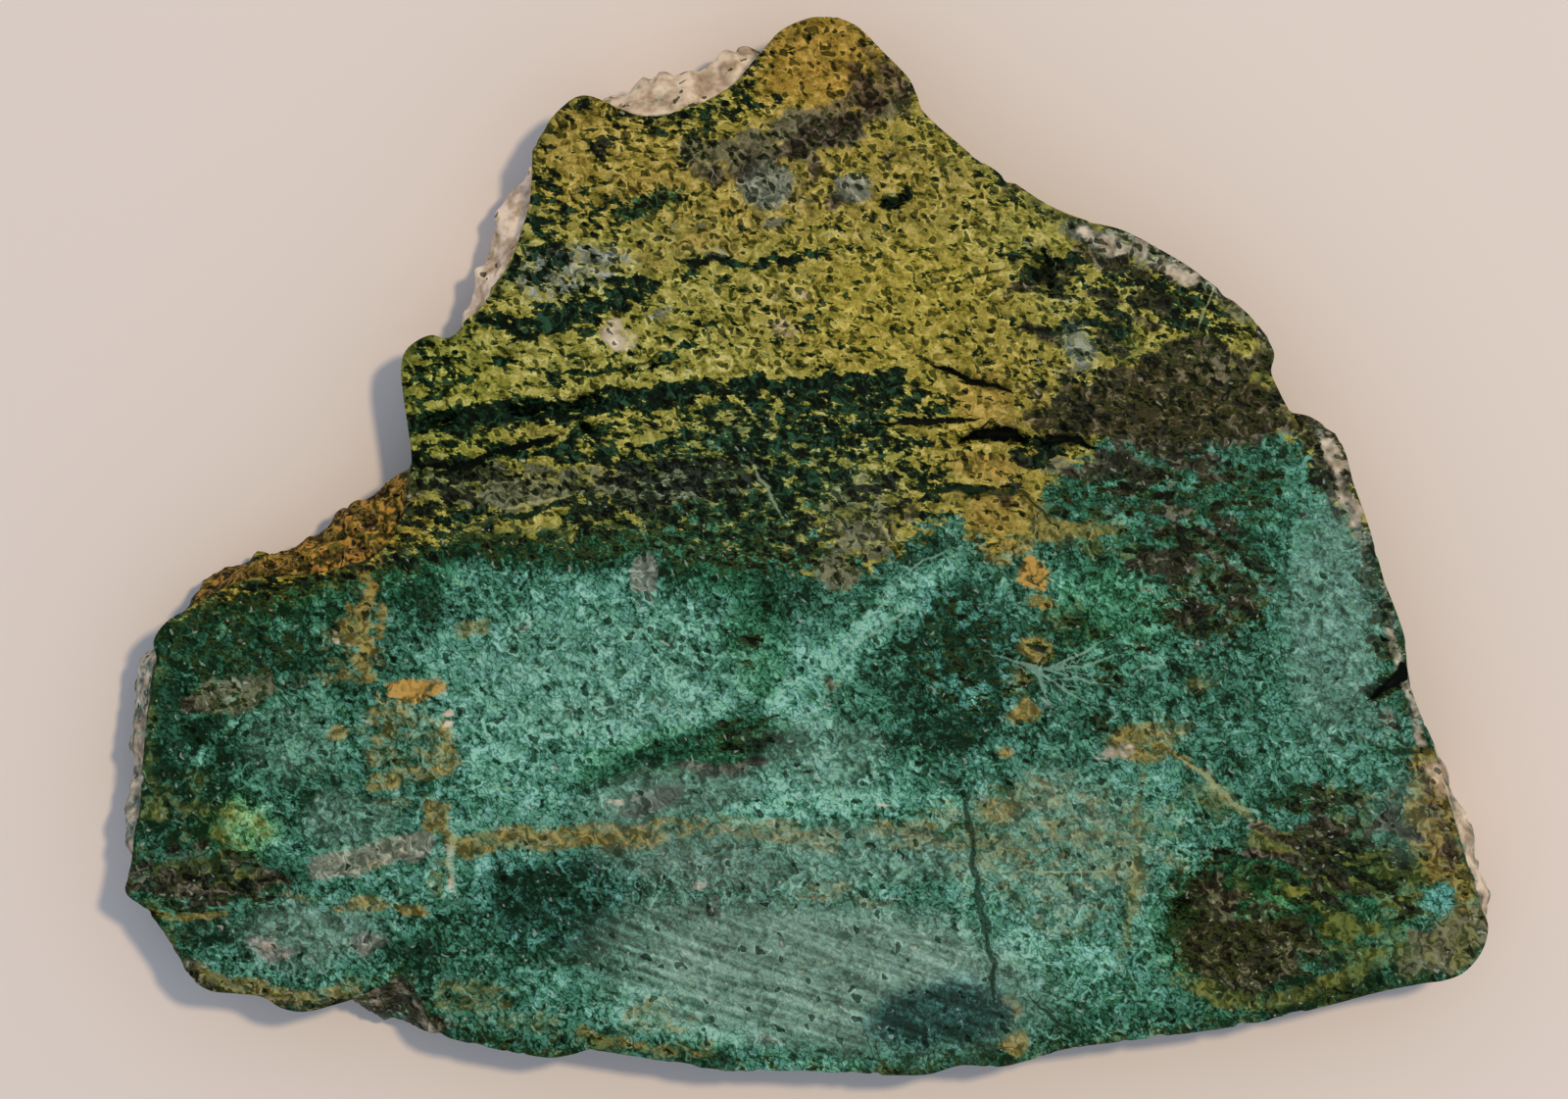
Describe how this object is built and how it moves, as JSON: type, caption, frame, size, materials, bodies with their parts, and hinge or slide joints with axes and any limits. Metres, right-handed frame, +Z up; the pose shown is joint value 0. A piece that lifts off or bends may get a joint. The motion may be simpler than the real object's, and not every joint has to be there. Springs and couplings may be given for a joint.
{
  "type": "chrysocolla specimen slab",
  "caption": "Sawn slab of green and blue-green chrysocolla rock with an ochre upper zone, broken natural rim, pale crusts and open cracks, for display on a flat surface.",
  "frame": {"origin": "on the plane of the sawn back, under the middle of the slab's bounding box", "axes": "+X along the slab's length, +Y towards its top knob, +Z up out of the sawn display face"},
  "size_m": [0.0906, 0.0696, 0.008],
  "materials": {
    "sawn_chrysocolla": "sawn and half-polished stone, teal and dark green with mustard, olive and brown zones, granular speckle, natural crust on the rim"
  },
  "bodies": {
    "root": {"chrysocolla_slab": "sawn_chrysocolla"}
  },
  "joints": []
}
